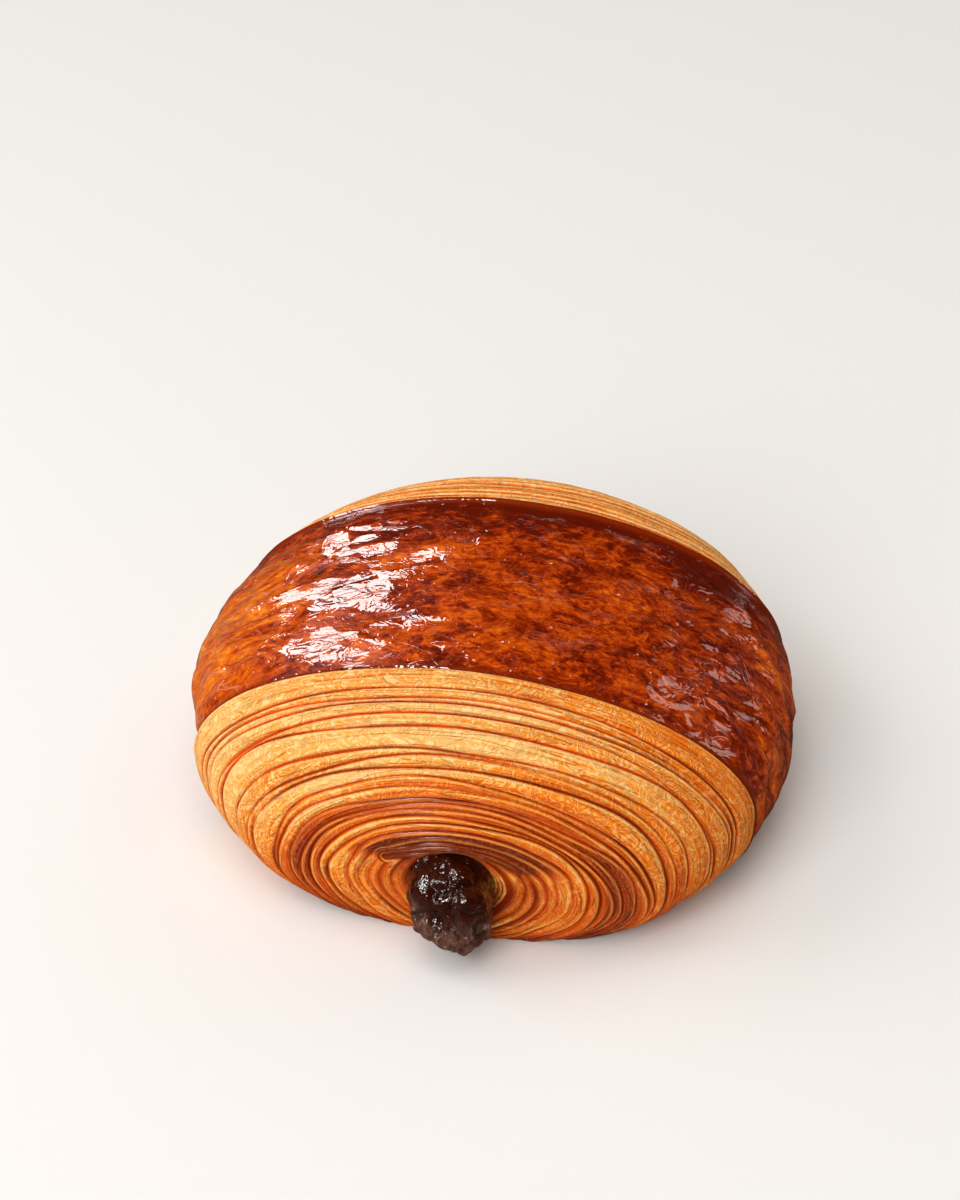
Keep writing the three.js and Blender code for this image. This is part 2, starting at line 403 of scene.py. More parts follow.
def makeCamera():
    camera = bpy.data.objects.new("camera", bpy.data.cameras.new("camera"))
    bpy.context.scene.collection.objects.link(camera)
    back = direction(view["azimuth"], view["elevation"])
    camera.location = inScene(view["target"]) + back * view["distance"] * toMetres
    camera.rotation_euler = (-back).to_track_quat("-Z", "Y").to_euler()
    camera.data.sensor_width = view["sensor"]
    camera.data.lens = view["lens"]
    camera.data.clip_start = view["nearest"]
    camera.data.clip_end = view["farthest"]
    bpy.context.scene.camera = camera


makeCamera()

# Each light: azimuth, elevation, distance, width, height, power and colour. The soft ones light the scene,
# and the mirrored ones show only in what is glossy.
lights = {
    "sideSoft": (-92.0, 36.0, 2.2, 1.5, 1.5, 18.0, (1.0, 0.995, 0.99)),
    "frontSoft": (-22.0, 36.0, 2.0, 1.4, 1.4, 27.0, (1.0, 0.995, 0.985)),
    "topSoft": (-60.0, 85.0, 2.0, 1.4, 1.4, 16.0, (1.0, 0.995, 0.985)),
    "rightSoft": (140.0, 38.0, 2.2, 1.4, 1.4, 6.5, (1.0, 0.86, 0.72)),
    "window": (-130.0, 40.0, 0.9, 0.30, 0.34, 5.0, (1.0, 0.95, 0.93)),
    "frontPane": (-40.0, 43.5, 0.9, 0.32, 0.34, 9.0, (1.0, 0.98, 0.96)),
    "rightCard": (130.0, 24.0, 0.8, 0.20, 0.26, 0.55, (1.0, 0.76, 0.68)),
    "backStrip": (178.0, 13.0, 1.0, 0.5, 0.06, 0.07, (1.0, 0.76, 0.66)),
}
mirroredLights = ("window", "frontPane", "rightCard", "backStrip")
lightTarget = Vector((0.0, 0.0, 0.015))
room = {"colour": (1.0, 0.93, 0.86, 1.0), "strength": 0.2, "mirrored": 0.004}


def makeLights():
    for name, (azimuth, elevation, distance, width, height, power, shade) in lights.items():
        lamp = bpy.data.lights.new(name, "AREA")
        lamp.shape = "RECTANGLE"
        lamp.size = width
        lamp.size_y = height
        lamp.energy = power
        lamp.color = shade
        holder = bpy.data.objects.new(name, lamp)
        towards = direction(azimuth, elevation)
        holder.location = lightTarget + towards * distance
        holder.rotation_euler = towards.to_track_quat("Z", "Y").to_euler()
        holder.visible_glossy = name in mirroredLights
        holder.visible_diffuse = name not in mirroredLights
        bpy.context.scene.collection.objects.link(holder)


# The room around: soft and pale as light, and nearly dark where the glaze mirrors it
def makeRoom():
    world = bpy.data.worlds.new("room")
    bpy.context.scene.world = world
    world.use_nodes = True
    tree = world.node_tree
    tree.nodes.clear()
    rays = tree.nodes.new("ShaderNodeLightPath")
    strength = remap(tree, rays.outputs["Is Glossy Ray"], 0.0, 1.0, room["strength"], room["mirrored"])
    shade = addNode(tree, "ShaderNodeBackground", {"Color": room["colour"], "Strength": strength})
    output = tree.nodes.new("ShaderNodeOutputWorld")
    tree.links.new(shade.outputs[0], output.inputs["Surface"])
    bpy.context.scene.view_settings.view_transform = "Standard"


makeLights()
makeRoom()

floorLook = {
    "size": 6.0,
    "colour": colour(232, 231, 229),
    "mirrored": colour(78, 48, 38),     # how the glaze mirrors it
    "roughness": 0.55,
    "shine": 0.2,
}


def makeFloor():
    half = floorLook["size"] / 2
    mesh = bpy.data.meshes.new("floor")
    corners = [(-half, -half, 0.0), (half, -half, 0.0), (half, half, 0.0), (-half, half, 0.0)]
    mesh.from_pydata(corners, [], [(0, 1, 2, 3)])
    floor = bpy.data.objects.new("floor", mesh)
    bpy.context.scene.collection.objects.link(floor)
    material, tree, output = newMaterial("paleFloor")
    isMirrored = tree.nodes.new("ShaderNodeLightPath").outputs["Is Glossy Ray"]
    finishMaterial(tree, output, {
        "Base Color": blendColours(tree, isMirrored, floorLook["colour"], floorLook["mirrored"]),
        "Roughness": floorLook["roughness"],
        "Specular IOR Level": floorLook["shine"],
    })
    mesh.materials.append(material)


makeFloor()
print("stage, lights and camera ready")

# The glazed wrap over the middle of the roll
wrap = {
    "columns": 392,
    "rows": 250,
    "closerRows": 0.12,        # how much closer the rows lie at its edges
    "lift": 0.3,               # stands above the smooth roll
    "lipDepth": 0.6,           # from the wrap's surface to its foot at the edges
    "lipRound": 0.5,
    "edgeWave": 0.3,           # how far its edges wander
    "flare": 1.4,              # how far it stands out low on one side, where its end was tucked in
    "flareAngle": 1.05 * np.pi,
    "flareSpread": 0.3,
    "swell": 0.3,
    "folds": 0.18,
    "facets": 0.34,
    "grain": 0.015,
    "knobs": 0.42,             # small bumps along both sides
    "knobsFrom": (22.0, 46.0),
}

# Painted light and shade on the glaze, lighter low down and towards -X and darker towards +X, the far edge
# and the tray: from and to in millimetres, and how much
flankLightShade = {
    "low": (6.0, 34.0, 0.45),
    "side": (20.0, 52.0, 0.6),
    "most": 0.72,
    "right": (15.0, 45.0, 0.1),
    "far": (4.0, 24.0, 0.5),
    # painted shade on the glaze near the tray
    "tray": (0.5, 7.0, 0.7),
}


# The wrap's rows: edge to edge by length over the crest, closer together at the rounded lips by a sine
def wrapPlaces(fineSteps=4000):
    table = np.linspace(-roll["nearEdge"], roll["farEdge"], fineSteps + 1)
    lengths = runningLength(rollSurface(table, np.full_like(table, overTop)))
    share = np.linspace(-1.0, 1.0, wrap["rows"])
    closer = wrap["closerRows"]
    eased = 0.5 + 0.5 * (closer * np.sin(share * np.pi / 2) + (1.0 - closer) * share)
    return lengths, table, eased * lengths[-1]


# How much painted light the glaze gets: more low down and towards -X, and less, down to painted shade,
# towards +X, the far edge and the tray
def paintedFlankLightShade(smooth):
    def rising(name, value):
        low, high, amount = flankLightShade[name]
        return amount * smoothStep(low, high, value)

    x, y, z = (smooth[..., i] for i in range(3))
    low = flankLightShade["low"][2] - rising("low", z)
    tray = flankLightShade["tray"][2] - rising("tray", z)
    return np.minimum(low + rising("side", -x), flankLightShade["most"]) - rising("right", x) - rising("far", y) - tray


# Wrap surface: the smooth roll lifted by swells, folds, facets that run along the rings and knobs along both
# sides, with quarter round lips. Two rings of the filling's way close it as a solid ring.
def makeWrap():
    angle = evenAngles(wrap["columns"])
    lengths, table, travelled = wrapPlaces()
    edges = wrap["edgeWave"] * ringWaves(angle, 2, 11)
    total = lengths[-1]
    share = (travelled / total)[:, None]
    along = travelled[:, None] + edges[:1] * (1.0 - share) ** 3 + edges[1:] * share ** 3
    t = np.interp(along, lengths, table)
    smooth = rollSurface(t, angle[None, :])
    swirl = swirled(smooth, 12.0, 4.0, 21)
    swells = latticeNoise(swirl, (16.0, 6.0, 16.0), 31)
    ridges = 1.0 - np.abs(latticeNoise(swirl, (13.0, 4.6, 13.0), 41)) * 1.9
    ridges = np.clip(ridges, 0.0, 1.0) ** 2
    facets = np.abs(latticeNoise(swirled(swirl, 7.0, 2.5, 45), (9.0, 4.0, 9.0), 47))
    grain = latticeNoise(swirled(smooth, 3.0, 1.0, 51), (3.0, 1.4, 3.0), 61)
    knobs = latticeNoise(swirled(smooth, 5.0, 1.2, 53), (4.6, 3.2, 4.6), 63)
    knobs = knobs * smoothStep(*wrap["knobsFrom"], np.abs(smooth[..., 0]))
    fromEdge = np.minimum(travelled, total - travelled)[:, None]
    inside = smoothStep(0.4, 3.0, fromEdge)
    relief = wrap["swell"] * swells + wrap["folds"] * (ridges - 0.3) + wrap["grain"] * grain
    relief = relief + wrap["facets"] * (facets - 0.35) + wrap["knobs"] * knobs
    curve = np.sqrt(np.maximum(0.0, 1.0 - (1.0 - np.minimum(fromEdge / wrap["lipRound"], 1.0)) ** 2))
    flare = np.exp(-((angle - wrap["flareAngle"]) / wrap["flareSpread"]) ** 2)[None, :]
    flare = wrap["flare"] * flare * smoothStep(0.1, 0.35, -t)
    lift = wrap["lift"] - wrap["lipDepth"] * (1.0 - curve) + relief * (0.2 + 0.8 * inside) + flare
    points = smooth + gridNormals(smooth) * lift[..., None]
    points[..., 2] = np.maximum(points[..., 2], 0.0)
    closing = [tunnelRing(roll["farEdge"], angle), tunnelRing(-roll["nearEdge"], angle)]
    points = np.concatenate([points, np.stack(closing)])
    # The glaze's painted light and shade is kept for its colour.
    shown = {"rim": fromEdge, "hollow": ridges, "along": along, "flankLightShade": paintedFlankLightShade(smooth)}
    extra = np.zeros((len(closing), angle.size))
    values = {key: np.concatenate([np.broadcast_to(value, t.shape), extra]) for key, value in shown.items()}
    piece = buildMesh("glazedWrap", points, values)
    finishPiece(piece, glazeMaterial(), "pastry")


# Patterns are given by their waves per millimetre across and along the rings, and how far they bend.
glaze = {
    "colours": [
        (0.48, colour(94, 17, 0)),
        (0.59, colour(150, 42, 1)),
        (0.71, colour(202, 78, 4)),
        (0.85, colour(234, 120, 20)),
        (1.0, colour(250, 160, 60)),
    ],
    "rim": colour(130, 36, 2),
    # painted sheen colour of the threads on the wet flanks
    "threadSheen": colour(232, 148, 112),
    # painted glint colour for the small pale dots
    "paintedGlint": colour(255, 214, 190),
    "roughness": 0.34,
    "shine": 0.05,
    "coatRoughness": 0.02,
    "coatStrength": 1.52,
    "swirlWaves": (0.12, 0.2),
    "fleckWaves": (0.3, 0.42, 1.8),
    "arcWaves": (0.22, 0.3, 1.4),
    "threadWaves": (0.1, 0.22, 1.6),
    "gildingWaves": (0.24, 0.4, 1.8),
    "wrinkleWaves": (0.14, 0.26, 0.8),
    "plateWaves": (0.15, 0.24),
    "chipWaves": (0.42, 0.6),
    "patchScale": (70.0, 90.0, 70.0),
    # cells for the bubbles' relief and for the painted glints
    "bubbleAndGlintScale": (400.0, 400.0, 400.0),
    "swirlShare": 0.57,        # how much each pattern lightens the glaze
    "fleckShare": 0.36,
    "patchShare": 0.3,
    "hollowShare": -0.05,
    "arcShare": 0.05,
    "gildingShare": 0.07,
    # painted light and shade on the flanks
    "flankLightShadeShare": 0.27,
    "rimShare": -0.06,
    "plates": 1.7,             # millimetres of relief, broad plates first
    "chips": 0.07,
    "wrinkles": 0.08,
    "bubbles": 0.2,
    "arcs": 0.026,
    "threads": 0.12,
}


# Browned dough under egg wash: patterns and painted light and shade on the flanks added up to one tone for
# the colours, with threads in a pinkish painted sheen, painted glints as small pale dots and a browner rim
# over it. The soft relief turns both layers, and flat plates and chips turn the clear coat alone.
def glazeMaterial():
    material, tree, output = newMaterial("eggWashGlaze")
    # Cells shared by the bubbles' relief and the painted glints.
    bubbleAndGlintPlaces = objectVector(tree, glaze["bubbleAndGlintScale"])
    cells = addNode(tree, "ShaderNodeTexVoronoi", {"Vector": bubbleAndGlintPlaces, "Scale": 1.0})
    square = maths(tree, "MULTIPLY", cells.outputs["Distance"], cells.outputs["Distance"])
    chosen = addNode(tree, "ShaderNodeSeparateColor", {0: cells.outputs["Color"]}).outputs[0]
    swirls = noise(tree, ringVector(tree, *glaze["swirlWaves"]), 4.0, 2.8, 0.54)
    flecks = noise(tree, ringVector(tree, *glaze["fleckWaves"]), 2.0, 2.2, 0.45)
    patches = noise(tree, objectVector(tree, glaze["patchScale"], (3.0, 1.0, 7.0)), 2.0, 0.6)
    arcs = nestedArcs(tree, ringVector(tree, *glaze["arcWaves"]), 34.0)
    # Painted light and shade on the flanks lightens and darkens the tone.
    flankLightShadeTone = attribute(tree, "flankLightShade")
    # Threads on the flanks: real raised ridges in the relief, and a pinkish painted sheen in the colour.
    threads = levelLines(tree, ringVector(tree, *glaze["threadWaves"]), 0.016, 0.0)
    threads = maths(tree, "MULTIPLY", threads, remap(tree, flankLightShadeTone, -0.1, 0.5))
    gilding = levelLines(tree, ringVector(tree, *glaze["gildingWaves"]), 0.03)
    fromRim = attribute(tree, "rim")
    tone = weighted(tree, [
        (swirls, glaze["swirlShare"]),
        (flecks, glaze["fleckShare"]),
        (patches, glaze["patchShare"]),
        (attribute(tree, "hollow"), glaze["hollowShare"]),
        (arcs, glaze["arcShare"]),
        (remap(tree, fromRim, 0.0, 6.0, 1.0, 0.0), glaze["rimShare"]),
        (flankLightShadeTone, glaze["flankLightShadeShare"]),
        (gilding, glaze["gildingShare"]),
    ], -glaze["arcShare"] / 2)
    base = ramp(tree, tone, glaze["colours"])
    # Painted sheen: the threads blended towards a pale pink.
    base = blendColours(tree, maths(tree, "MULTIPLY", threads, 0.7), base, glaze["threadSheen"])
    # Painted glints: small pale dots on a few chosen cells.
    paintedGlints = maths(tree, "MULTIPLY", remap(tree, square, 0.007, 0.003), remap(tree, chosen, 0.8, 0.82))
    base = blendColours(tree, maths(tree, "MULTIPLY", paintedGlints, 0.8), base, glaze["paintedGlint"])
    base = blendColours(tree, remap(tree, fromRim, 0.3, 1.7, 0.9, 0.0), base, glaze["rim"])
    dome = remap(tree, square, 0.035, 0.0)
    bubbles = maths(tree, "MULTIPLY", dome, remap(tree, chosen, 0.6, 0.64))
    wrinkles = noise(tree, ringVector(tree, *glaze["wrinkleWaves"]), 0.0, 0.5, 0.45)
    plates = flatPlates(tree, ringVector(tree, *glaze["plateWaves"]), 1.1)
    chips = flatPlates(tree, ringVector(tree, *glaze["chipWaves"]), 0.9)
    soft = weighted(tree, [
        (wrinkles, glaze["wrinkles"]),
        (bubbles, glaze["bubbles"]),
        (arcs, glaze["arcs"]),
        (threads, glaze["threads"]),
    ])
    crisp = weighted(tree, [(plates, glaze["plates"]), (chips, glaze["chips"])], soft)
    finishMaterial(tree, output, {
        "Base Color": base,
        "Roughness": glaze["roughness"],
        "Specular IOR Level": glaze["shine"],
        "Coat Weight": 1.0,
        "Coat Roughness": glaze["coatRoughness"],
        "Coat IOR": glaze["coatStrength"],
        "Normal": bumpNormal(tree, soft, toMetres),
        "Coat Normal": bumpNormal(tree, crisp, toMetres),
    })
    return material


makeWrap()

# The cut ends, near (-1) and far (1): turns of dough from the wrap to the pole, each with the widths of its
# layers over the crest
layers = {
    "turns": {
        -1.0: (
            (4.1, 1.33, 0.93, 2.14, 1.37),
            (3.61, 1.43, 1.42, 2.22),
            (1.12, 1.56, 1.25, 1.03, 1.22),
            (1.07, 1.64, 1.27, 0.97, 0.75, 0.7, 0.75),
        ),
        1.0: (
            (1.5, 1.1, 1.9, 0.9, 1.6),
            (1.2, 2.3, 1.2, 2.9),
            (3.0, 1.4, 1.9, 1.2, 2.2),
            (1.5, 1.9, 1.2, 1.3, 0.9, 0.8, 0.8),
        ),
    },
    "columns": 384,
    "rows": 210,
    "leastRows": 6,            # in a layer
    "closerRows": 0.056,       # how much closer the rows lie beside the grooves
    "split": 2,                # turns in the outer piece
    "wander": 0.26,            # how far the lines wander, as a share of the layers beside them
    "leastGap": 0.16,
    "grooveDepth": 0.56,
    "grooveWidth": 0.25,
    "deepest": -1.0,
    "crest": 0.05,
    "unevenCrest": 0.2,
    "crestWave": 0.14,
    "grain": 0.05,
    "broad": 0.15,
    "lipPlace": 0.42,          # where a layer's edge catches the light, from its groove
    "lipWidth": 0.16,
}


# Line places over the crest: the running sum of the widths, each line then wandering with its own and its
# turn's ring waves, kept in order with a least gap
def layerLines(angle, end, seed, total):
    turns = layers["turns"][end]
    widths = np.concatenate(turns)
    turnOf = np.concatenate([np.full(len(turn), i) for i, turn in enumerate(turns)])
    widths = widths * total / widths.sum()
    lines = np.concatenate([[0.0], np.cumsum(widths)])
    own = ringWaves(angle, len(lines), seed)
    shared = ringWaves(angle, len(turns) + 1, seed + 1)[np.append(turnOf, turnOf[-1])]
    beside = np.append(widths, widths[-1]) + np.insert(widths, 0, widths[0])
    reach = layers["wander"] * np.minimum(beside, 3.2)[:, None]
    fade = np.sin(np.pi * np.clip(lines / lines[-1], 0.0, 1.0))[:, None] ** 0.35
    fade[0] = 0.0
    fade[-1] = 0.0
    placed = lines[:, None] + fade * reach * 0.75 * (own + shared)
    number = np.arange(len(lines))[:, None]
    gaps = number * layers["leastGap"]
    placed = np.maximum.accumulate(placed - gaps, axis=0) + gaps
    return lines, np.minimum(placed, lines[-1] - (number[-1] - number) * layers["leastGap"])


# Rows for the layers first to last, more in a wide layer: the layer of each row, and its share of it
def layerRows(lines, first, last):
    widths = np.diff(lines)[first:last]
    counts = np.round(widths / widths.sum() * layers["rows"]).astype(int)
    counts = np.maximum(layers["leastRows"], counts)
    layerOf = np.repeat(np.arange(first, last), counts)
    start = np.repeat(np.cumsum(counts) - counts, counts)
    within = (np.arange(counts.sum()) - start) / np.repeat(counts, counts)
    eased = within - layers["closerRows"] * np.sin(2.0 * np.pi * within)
    return np.append(layerOf, last - 1), np.append(eased, 1.0)


# Folds beside the mouths: a slit from the mouth to a turned-back end of the dough, as X and Z of its two ends
folds = {
    -1.0: (((-10.1, 17.4), (-3.0, 19.6)), ((8.0, 12.2), (10.6, 13.4))),
    1.0: (((9.4, 17.0), (2.6, 19.8)), ((-6.0, 9.0), (-9.6, 8.2))),
}
foldReach = 2.6


# Lengths over the crest with the folds laid in: the greater of the length and the pole's length less the
# distance from a slit, so that the lines turn round the slit's end. Its cube keeps a fold small.
def foldedLengths(along, smooth, end, total):
    folded = along
    for start, stop in folds[end]:
        start, stop = np.array(start), np.array(stop)
        spine = stop - start
        away = np.stack([smooth[..., 0] - start[0], smooth[..., 2] - start[1]], axis=-1)
        share = np.clip(away @ spine / (spine @ spine), 0.0, 1.0)
        distance = np.linalg.norm(away - share[..., None] * spine, axis=-1)
        folded = np.maximum(folded, total - distance - (distance / foldReach) ** 3)
    return np.minimum(folded, total - 1e-4)


# Thin turns in the mouth of the roll, between the last line and the filling
mouthTurns = {
    "rows": 40,
    "turns": 3,
    "width": 2.4,
    "depth": 1.5,              # how far they go in
    "ridge": 0.26,
    "radius": 7.2,
    "bake": 0.28,
    # browner dough and painted shade at the top of the mouth, under the overhang
    "topBrowningAndShade": 0.55,
}


# Rows from the last ring to a ring close about the filling: both blended by the share, going in by a power of
# it, with ridges by the sine squared of the turns
def mouthRows(lastRing, end):
    share = np.linspace(0.0, 1.0, mouthTurns["rows"] + 1)[1:, None]
    around = np.arctan2(lastRing[:, 2] - roll["poleHeight"], lastRing[:, 0] - roll["mouthOffset"])[None, :]
    innerX = roll["mouthOffset"] + mouthTurns["radius"] * np.cos(around)
    innerZ = roll["poleHeight"] + mouthTurns["radius"] * np.sin(around)
    x = lastRing[None, :, 0] * (1.0 - share) + share * innerX
    z = lastRing[None, :, 2] * (1.0 - share) + share * innerZ
    ridge = np.sin(np.pi * share * mouthTurns["turns"]) ** 2
    inwards = mouthTurns["depth"] * share ** 1.4 - mouthTurns["ridge"] * ridge
    y = lastRing[None, :, 1] - end * np.broadcast_to(inwards, x.shape)
    # Browner and painted shade at the top of the mouth, under the overhang.
    bake = mouthTurns["bake"] + mouthTurns["topBrowningAndShade"] * smoothStep(14.0, 19.0, z)
    groove = np.broadcast_to(np.clip(1.0 - ridge * 3.0, 0.0, 1.0), x.shape)
    # painted highlight on the mouth's ridges
    lipHighlight = np.broadcast_to(0.2 * np.clip(ridge * 1.6 - 0.7, 0.0, 1.0), x.shape)
    further = np.broadcast_to(mouthTurns["width"] * share, x.shape)
    return np.stack([x, y, z], axis=-1), {"along": further, "groove": groove, "lipHighlight": lipHighlight, "bake": bake}


# How brown the dough is, from 0 to 1, with painted shade near the tray and over the mouth in it too
baking = {
    "lengths": (0.0, 9.0, 15.0, 18.5, 20.5, 22.5, 25.0, 27.0, 29.0, 31.0, 33.0),    # over the crest
    "amounts": (0.12, 0.11, 0.14, 0.13, 0.24, 0.58, 0.58, 0.42, 0.30, 0.34, 0.40),  # at those lengths
    # browner dough and painted shade under the overhang over the mouth
    "overMouthBrowningAndShade": 0.8,          # more over the mouth
    "lowSide": 0.2,
    "right": 0.22,             # more on the +X side of the near end
    # browner base on the tray, and painted contact shade at the foot
    "tray": 0.42,
    "patches": 0.08,
    "farEnd": 0.12,            # how much browner the far end is
}


# The amount from the table, and more of it by layer, round each layer, low on the sides, to the right, near
# the tray, in patches and over the mouth.
# Near the tray it is browning and painted contact shade, and over the mouth browning and painted shade under
# its overhang.
def bakeAmount(along, smooth, angle, layer, count, seed):
    random = np.random.default_rng(seed + 17)
    x, y, z = (smooth[..., i] for i in range(3))
    amount = np.interp(along, baking["lengths"], baking["amounts"])
    tones = random.uniform(-1.0, 1.0, (count, 1)) + 0.9 * ringWaves(angle, count, seed + 21)
    byLayer = tones[layer, np.arange(angle.size)[None, :]]
    amount = amount + byLayer * np.interp(along, (0.0, 14.0, 20.0, 26.0), (0.05, 0.07, 0.16, 0.18))
    lowSide = (1.0 - smoothStep(3.0, 24.0, z)) * smoothStep(2.0, 14.0, along)
    lowSide = lowSide * (1.0 - smoothStep(24.0, 28.0, along))
    amount = amount + baking["lowSide"] * lowSide
    amount = amount + baking["right"] * smoothStep(5.0, 46.0, x) * (y < 0.0)
    # Browner base and painted contact shade near the tray.
    amount = amount + baking["tray"] * (1.0 - smoothStep(0.3, 3.2, z))
    amount = amount + baking["patches"] * latticeNoise(smooth, 16.0, seed + 19)
    # Browner dough and painted shade under the overhang over the mouth.
    amount = amount + baking["overMouthBrowningAndShade"] * smoothStep(27.5, 31.0, along) * smoothStep(16.0, 19.5, z)
    return np.clip(amount, 0.0, 1.0)


# Layered surface: along each row the smooth roll sinks by an exponential groove beside every line, over
# crests that differ from layer to layer. A groove's depth swells and fades round its ring. The last rows
# close it as a solid ring through the filling's way.
def makeLayers(name, end, first, last, seed):
    angle = evenAngles(layers["columns"])
    column = np.arange(angle.size)[None, :]
    crestLengths, crestPlaces = crestTable(roll["nearEdge"] if end < 0 else roll["farEdge"])
    lines, placed = layerLines(angle, end, seed, crestLengths[-1])
    count = len(lines)
    layerOf, share = layerRows(lines, first, last)
    low, high = placed[layerOf], placed[layerOf + 1]
    straight = low + (high - low) * share[:, None]
    t = np.interp(straight, crestLengths, crestPlaces)
    smooth = rollSurface(end * t, angle[None, :])
    along = foldedLengths(straight, smooth, end, lines[-1])
    layer = np.clip((along[..., None] >= placed.T[None]).sum(axis=-1) - 1, 0, count - 2)
    fromLow = along - placed[layer, column]
    fromHigh = placed[layer + 1, column] - along
    random = np.random.default_rng(seed + 7)
    crest = layers["crest"] + layers["unevenCrest"] * random.uniform(-1.0, 1.0, count)
    crestWave = layers["crestWave"] * ringWaves(angle, count, seed + 9)
    strength = random.uniform(0.6, 1.2, (count, 1)) * (1.0 + 0.55 * ringWaves(angle, count, seed + 13))
    strength = np.clip(strength, 0.2, 1.5)
    strength[-1] = 1.2
    lowerCrest = np.minimum(crest, np.append(crest[:1], crest[:-1]))[:, None]
    lineLevel = lowerCrest - layers["grooveDepth"] * strength
    level = crest[layer] + crestWave[layer, column]
    nearLow = np.exp(-fromLow / layers["grooveWidth"])
    nearHigh = np.exp(-fromHigh / layers["grooveWidth"])
    lift = level + (lineLevel[layer, column] - level) * nearLow
    lift = lift + (lineLevel[layer + 1, column] - level) * nearHigh
    grain = latticeNoise(swirled(smooth, 4.0, 1.5, seed + 3), (2.2, 1.2, 2.2), seed + 4)
    grain = layers["grain"] * grain * (1.0 - np.maximum(nearLow, nearHigh))
    broad = layers["broad"] * latticeNoise(smooth, 14.0, seed + 5)
    lift = np.maximum(lift, layers["deepest"]) + grain + broad
    points = smooth + gridNormals(smooth, -end) * lift[..., None]
    points[..., 2] = np.maximum(points[..., 2], 0.0)
    ink = np.clip(strength, 0.0, 1.1)
    # Where the grooves are, for their colour, which is partly painted shade.
    groove = np.maximum(nearLow * ink[layer, column], nearHigh * ink[layer + 1, column])
    # Painted highlight along each layer's edge, where it would catch the light.
    lipHighlight = np.exp(-((fromLow - layers["lipPlace"]) / layers["lipWidth"]) ** 2)
    lipHighlight = lipHighlight * ink[layer, column] * smoothStep(0.6, 1.1, fromLow + fromHigh)
    bake = bakeAmount(straight, smooth, angle, layer, count, seed)
    bake = bake + baking["farEnd"] * (end > 0) * smoothStep(1.0, 2.2, straight)
    values = {"along": along, "groove": groove, "lipHighlight": lipHighlight, "bake": bake}
    inwards = (0.86, 0.6, 0.45)
    if last == count - 1:
        inwards = (0.93, 0.8, 0.6)
        mouth, mouthValues = mouthRows(points[-1], end)
        mouthValues["along"] = mouthValues["along"] + along[-1:]
        points = np.concatenate([points, mouth])
        values = {key: np.concatenate([value, mouthValues[key]]) for key, value in values.items()}
    points = np.concatenate([points, np.stack([tunnelRing(end * inward, angle) for inward in inwards])])
    inside = {"along": lines[-1], "groove": 1.0, "lipHighlight": 0.0, "bake": 0.8}
    extra = np.ones((len(inwards), angle.size))
    values = {key: np.concatenate([value, extra * inside[key]]) for key, value in values.items()}
    piece = buildMesh(name, points, values)
    finishPiece(piece, layerMaterials[end], "pastry")


# Patterns are given as for the glaze.
crust = {
    "colours": [
        (0.0, colour(255, 201, 126)),
        (0.12, colour(255, 182, 92)),
        (0.3, colour(250, 140, 30)),
        (0.5, colour(228, 98, 6)),
        (0.74, colour(196, 70, 2)),
        (1.0, colour(112, 34, 3)),
    ],
    "curl": colour(255, 216, 150),
    # painted highlight colour of the layers' edges
    "shine": colour(255, 194, 96),
    # groove colours: browner baked layer edges, partly painted shade in the grooves
    "grooveLight": colour(236, 90, 2),
    "grooveDark": colour(136, 36, 1),
    "streakWaves": (0.05, 3.0),
    "arcWaves": (0.36, 0.46, 1.2),
    "creaseWaves": (0.5, 0.8, 1.4),
    "seamWaves": (0.03, 0.55),
    "fineSeamWaves": (0.022, 1.3),
    "patchWaves": (0.16, 0.5),
    "tickWaves": (1.1, 0.5),
    "stretchWaves": (0.05, 0.5),
    "mottleScale": (300.0, 300.0, 300.0),
    "relief": 0.00028,
    "mirroring": 0.1,
    "coatRoughness": 0.12,
}


